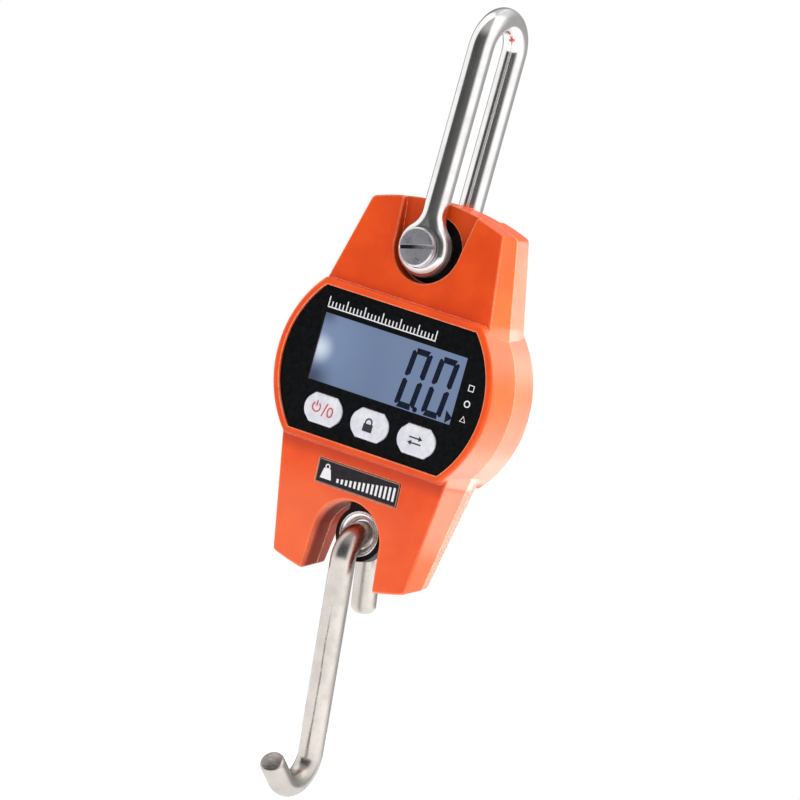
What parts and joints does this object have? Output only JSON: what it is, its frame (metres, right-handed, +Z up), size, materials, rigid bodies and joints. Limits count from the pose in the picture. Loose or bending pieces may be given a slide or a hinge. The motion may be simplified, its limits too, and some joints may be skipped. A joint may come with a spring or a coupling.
{
  "type": "crane scale",
  "caption": "Hanging digital crane scale: moulded case with display and push keys, forged steel shackle on a cross pin above, swinging S-shaped load hook below.",
  "frame": {"origin": "middle of the flat back face of the display section, level with the middle of the display disc", "axes": "+Z up along the load line, -Y the way the display faces, +X to the right of the display as it is read"},
  "size_m": [0.0804, 0.0387, 0.2586],
  "materials": {
    "case_orange": "satin moulded plastic, orange",
    "overlay_black": "smooth black printed film",
    "clear_acrylic": "clear moulded window",
    "lcd_glass": "blue-grey liquid crystal panel",
    "light_guide": "milky white moulding",
    "inner_black": "matt black moulding",
    "board_green": "green solder mask",
    "chip_epoxy": "black moulded epoxy",
    "key_silicone": "milky grey-white key caps",
    "blackened_steel": "black oxide",
    "gauge_foil": "amber polyimide foil",
    "lead_grey": "grey insulated wire",
    "lead_red": "red insulated wire",
    "battery_jacket": "plain dark printed jacket",
    "contact_nickel": "nickel-plated spring sheet",
    "zinc_steel": "zinc-plated, machined",
    "forged_steel": "polished and plated forging",
    "hook_steel": "drawn rod, satin, plated"
  },
  "bodies": {
    "case": {"front_shell": "case_orange", "rear_shell": "case_orange", "display_overlay": "overlay_black", "capacity_plate": "overlay_black", "display_lens": "clear_acrylic", "lcd_panel": "lcd_glass", "lcd_backlight": "light_guide", "gauge_connector": "light_guide", "lcd_holder": "inner_black", "main_board": "board_green", "controller_chip": "chip_epoxy", "buzzer": "chip_epoxy", "power_switch": "inner_black", "hold_switch": "inner_black", "unit_switch": "inner_black", "load_cell": "blackened_steel", "strain_gauge_left": "gauge_foil", "strain_gauge_right": "gauge_foil", "gauge_cable": "lead_grey", "battery_left": "battery_jacket", "battery_right": "battery_jacket", "battery_cradle_left": "inner_black", "battery_cradle_right": "inner_black", "battery_contact_left": "contact_nickel", "battery_contact_right": "contact_nickel", "series_contact": "contact_nickel", "battery_lead_left": "lead_grey", "battery_lead_right": "lead_red", "board_screw_left": "zinc_steel", "board_screw_right": "zinc_steel", "case_screw_upper_left": "zinc_steel", "case_screw_upper_right": "zinc_steel", "case_screw_lower_left": "zinc_steel", "case_screw_lower_right": "zinc_steel", "front_spacer": "zinc_steel", "rear_spacer": "zinc_steel"},
    "shackle": {"shackle": "forged_steel", "shackle_screw": "zinc_steel", "shackle_nut": "zinc_steel"},
    "ring": {"hook_ring": "forged_steel"},
    "hook": {"hook": "hook_steel"},
    "power_key": {"power_button": "key_silicone"},
    "hold_key": {"hold_button": "key_silicone"},
    "unit_key": {"unit_button": "key_silicone"},
    "cover": {"battery_cover": "case_orange"}
  },
  "joints": [
    {"name": "shackle_swing", "type": "hinge", "parent": "case", "child": "shackle", "pos_m": [0, -0.0122, 0.043], "axis": [0, 1, 0], "range_deg": [-28, 28]},
    {"name": "hook_swing", "type": "hinge", "parent": "case", "child": "ring", "pos_m": [0, -0.0122, -0.0498], "axis": [0, 1, 0], "range_deg": [-28, 28]},
    {"name": "hook_tilt", "type": "hinge", "parent": "ring", "child": "hook", "pos_m": [0, -0.0122, -0.0573], "axis": [1, 0, 0], "range_deg": [-38, 38]},
    {"name": "power_press", "type": "slide", "parent": "case", "child": "power_key", "axis": [0, 1, 0], "range_m": [0, 0.0007], "stiffness_N_per_m": 300},
    {"name": "hold_press", "type": "slide", "parent": "case", "child": "hold_key", "axis": [0, 1, 0], "range_m": [0, 0.0007], "stiffness_N_per_m": 300},
    {"name": "unit_press", "type": "slide", "parent": "case", "child": "unit_key", "axis": [0, 1, 0], "range_m": [0, 0.0007], "stiffness_N_per_m": 300},
    {"name": "cover_slide", "type": "slide", "parent": "case", "child": "cover", "axis": [0, 0, -1], "range_m": [0, 0.022]}
  ]
}
